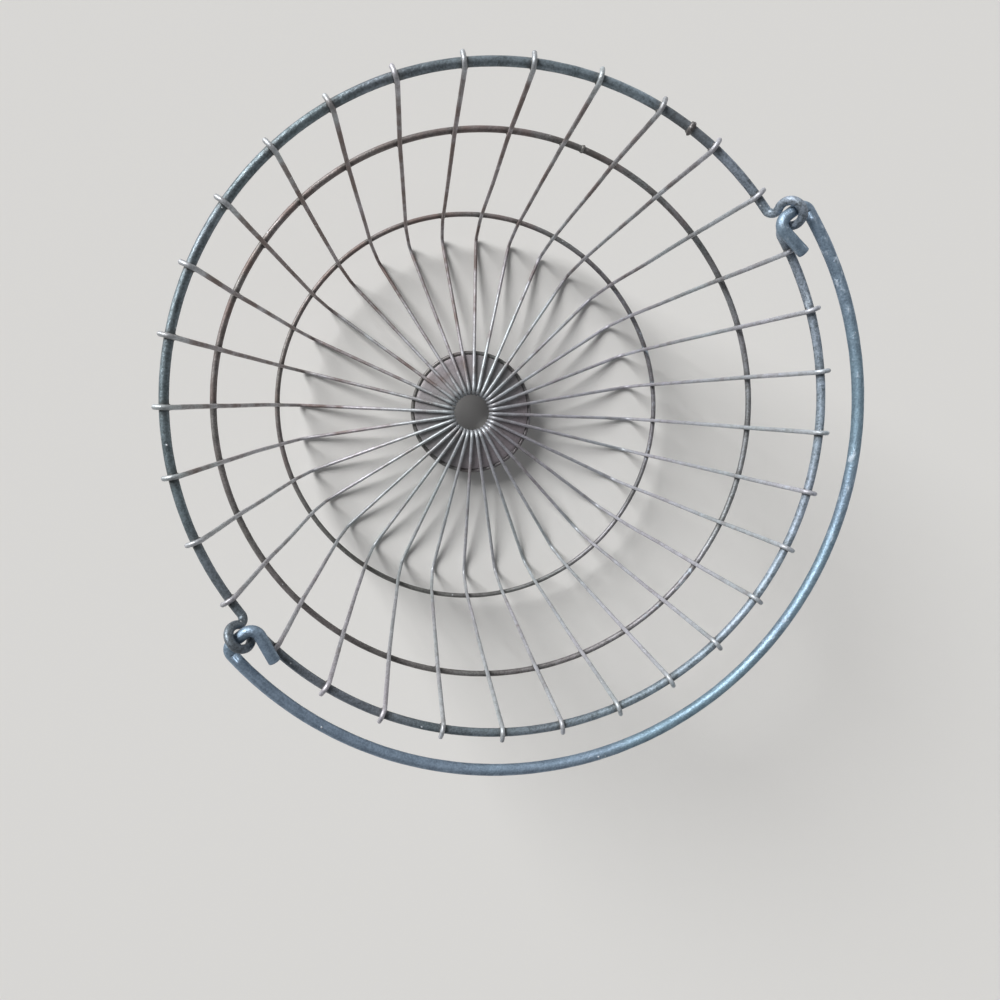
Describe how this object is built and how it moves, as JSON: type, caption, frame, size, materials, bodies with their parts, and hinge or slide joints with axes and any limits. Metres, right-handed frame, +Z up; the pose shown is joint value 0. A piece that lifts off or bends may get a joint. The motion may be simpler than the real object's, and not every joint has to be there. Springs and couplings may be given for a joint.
{
  "type": "wire egg basket",
  "caption": "Round tapered basket of welded galvanised wire with a raised, ring-and-plate centre and a swinging bail hooked into two ears of the rim, for gathering, washing and carrying eggs.",
  "frame": {"origin": "on the floor under the basket's axis", "axes": "+Z up along the basket's axis, +X through the two ears, -Y towards the bail as it lies at rest"},
  "size_m": [0.3506, 0.3441, 0.2228],
  "materials": {
    "rim_wire": "dull hot-dip galvanised, mottled",
    "hoop_wire": "dull hot-dip galvanised, mottled",
    "rib_wire": "dull hot-dip galvanised, brown tarnish in places",
    "bail_wire": "dull hot-dip galvanised, white oxide patches",
    "centre_sheet": "dull galvanised sheet"
  },
  "bodies": {
    "basket": {"rim": "rim_wire", "upper_hoop": "hoop_wire", "lower_hoop": "hoop_wire", "centre_ring": "hoop_wire", "centre_plate": "centre_sheet", "rib_01": "rib_wire", "rib_02": "rib_wire", "rib_03": "rib_wire", "rib_04": "rib_wire", "rib_05": "rib_wire", "rib_06": "rib_wire", "rib_07": "rib_wire", "rib_08": "rib_wire", "rib_09": "rib_wire", "rib_10": "rib_wire", "rib_11": "rib_wire", "rib_12": "rib_wire", "rib_13": "rib_wire", "rib_14": "rib_wire", "rib_15": "rib_wire", "rib_16": "rib_wire", "rib_17": "rib_wire", "rib_18": "rib_wire", "rib_19": "rib_wire", "rib_20": "rib_wire", "rib_21": "rib_wire", "rib_22": "rib_wire", "rib_23": "rib_wire", "rib_24": "rib_wire", "rib_25": "rib_wire", "rib_26": "rib_wire", "rib_27": "rib_wire", "rib_28": "rib_wire", "rib_29": "rib_wire", "rib_30": "rib_wire", "rib_31": "rib_wire", "rib_32": "rib_wire"},
    "bail": {"bail": "bail_wire"}
  },
  "joints": [
    {"name": "bail_swing", "type": "hinge", "parent": "basket", "child": "bail", "pos_m": [0, 0, 0.2153], "axis": [-1, 0, 0], "range_deg": [0, 180]}
  ]
}
